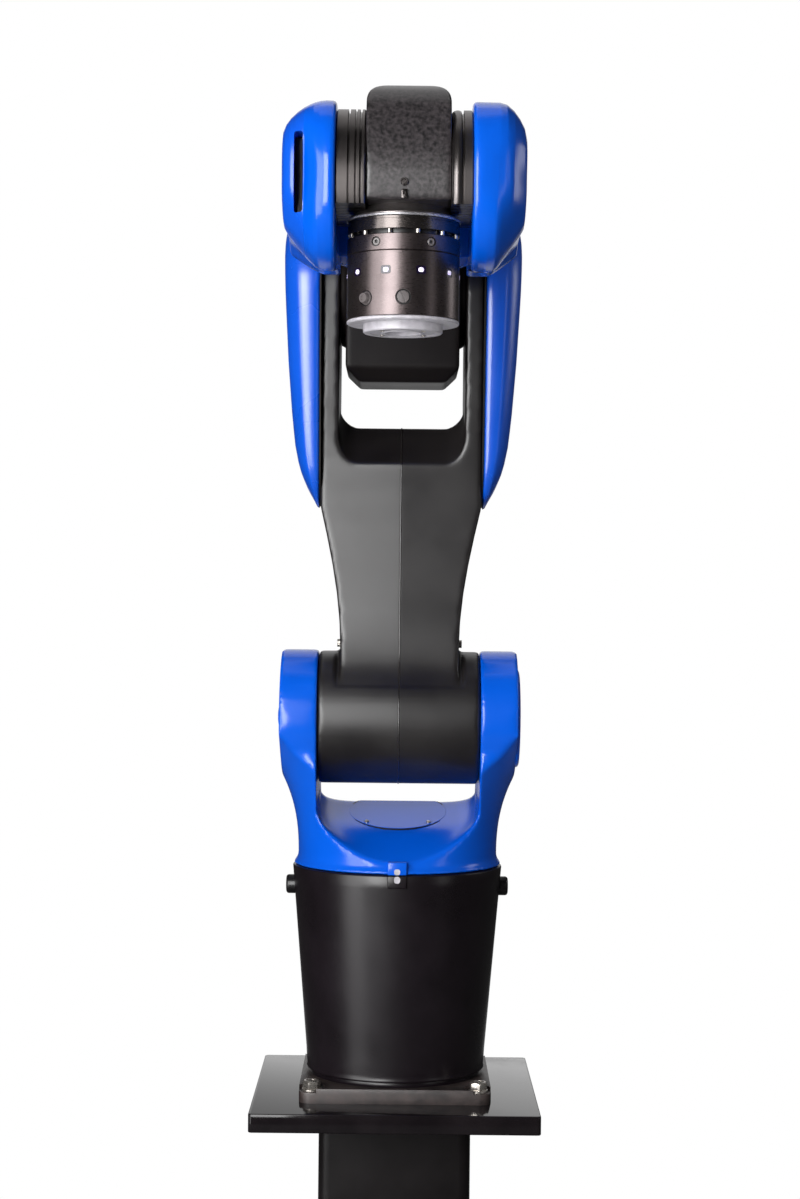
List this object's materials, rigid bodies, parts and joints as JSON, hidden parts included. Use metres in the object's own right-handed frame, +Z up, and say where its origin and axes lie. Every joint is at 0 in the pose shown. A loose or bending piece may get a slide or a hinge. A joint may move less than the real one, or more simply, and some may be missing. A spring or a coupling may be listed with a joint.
{
  "type": "industrial robot arm",
  "caption": "Compact articulated industrial robot arm with a round lamp and sensor tool, bolted on a square steel pedestal.",
  "frame": {"origin": "middle of the underside of the pedestal's foot plate, on the floor under the turret's turning axis", "axes": "+Z up along the turret's turning axis; the arm faces -Y; +X is to the right when seen from its front"},
  "size_m": [0.46, 0.761, 1.501],
  "materials": {
    "dark_steel": "dark satin paint on welded steel",
    "gloss_plate": "glossy black paint on steel plate",
    "black_casting": "satin black paint on cast aluminium",
    "blue_casting": "bright blue gloss paint on cast aluminium",
    "blue_plastic": "bright blue moulded cover",
    "black_plastic": "matt black plastic",
    "bright_steel": "bright zinc plated steel",
    "seal_rubber": "black seal",
    "dark_disc": "glossy black turned metal",
    "bright_aluminium": "clear anodised turned aluminium",
    "black_anodised": "black anodised turned aluminium",
    "grey_anodised": "grey anodised turned aluminium",
    "lit_window": "lit window",
    "pale_plastic": "pale frosted plastic"
  },
  "bodies": {
    "base": {"pedestal_foot": "dark_steel", "pedestal_column": "dark_steel", "pedestal_top_plate": "gloss_plate", "base_casting": "black_casting", "base_bolts": "bright_steel", "side_plugs": "black_plastic", "base_zero_mark": "black_casting", "connector_panel": "black_casting", "connector_sockets": "bright_steel"},
    "turret": {"turret_yoke": "blue_casting", "yoke_hatch": "blue_casting", "right_ear_cover": "blue_casting", "left_ear_plug": "blue_plastic", "turret_zero_mark": "blue_casting"},
    "lower_arm": {"lower_arm_casting": "black_casting", "left_arm_seal": "seal_rubber", "right_arm_seal": "seal_rubber", "left_arm_cover": "blue_plastic", "right_arm_cover": "blue_plastic", "arm_bolts": "bright_steel"},
    "elbow": {"elbow_block": "black_casting", "elbow_neck": "black_casting", "elbow_rear_cover": "blue_plastic", "elbow_top_cover": "blue_plastic"},
    "forearm": {"forearm_tube": "blue_casting", "wrist_fork_root": "blue_casting", "left_wrist_ear": "blue_casting", "right_wrist_ear": "blue_casting", "left_wrist_cover": "blue_plastic", "right_wrist_cover": "blue_plastic", "right_wrist_band": "blue_plastic"},
    "wrist": {"wrist_housing": "black_casting", "wrist_index": "black_casting", "left_wrist_disc": "dark_disc", "right_wrist_disc": "dark_disc", "wrist_neck": "black_casting"},
    "tool": {"adapter_rim": "bright_aluminium", "adapter_ring": "black_anodised", "adapter_screws": "black_anodised", "sensor_ring": "grey_anodised", "lamp_body": "black_anodised", "lamp_windows": "lit_window", "lamp_connectors": "black_plastic", "lamp_face": "pale_plastic", "tool_boss": "bright_aluminium"}
  },
  "joints": [
    {"name": "turret_turn", "type": "hinge", "parent": "base", "child": "turret", "pos_m": [0, 0, 0.784], "axis": [0, 0, 1], "range_deg": [-170, 170]},
    {"name": "shoulder_bend", "type": "hinge", "parent": "turret", "child": "lower_arm", "pos_m": [0, -0.03, 0.94], "axis": [1, 0, 0], "range_deg": [-100, 110]},
    {"name": "elbow_bend", "type": "hinge", "parent": "lower_arm", "child": "elbow", "pos_m": [0, -0.03, 1.385], "axis": [-1, 0, 0], "range_deg": [-63, 226]},
    {"name": "forearm_roll", "type": "hinge", "parent": "elbow", "child": "forearm", "pos_m": [0, -0.13, 1.415], "axis": [0, -1, 0], "range_deg": [-270, 270]},
    {"name": "wrist_bend", "type": "hinge", "parent": "forearm", "child": "wrist", "pos_m": [0, -0.46, 1.415], "axis": [1, 0, 0], "range_deg": [-210, 30]},
    {"name": "tool_turn", "type": "hinge", "parent": "wrist", "child": "tool", "pos_m": [0, -0.46, 1.386], "axis": [0, 0, -1], "range_deg": [-360, 360]}
  ]
}
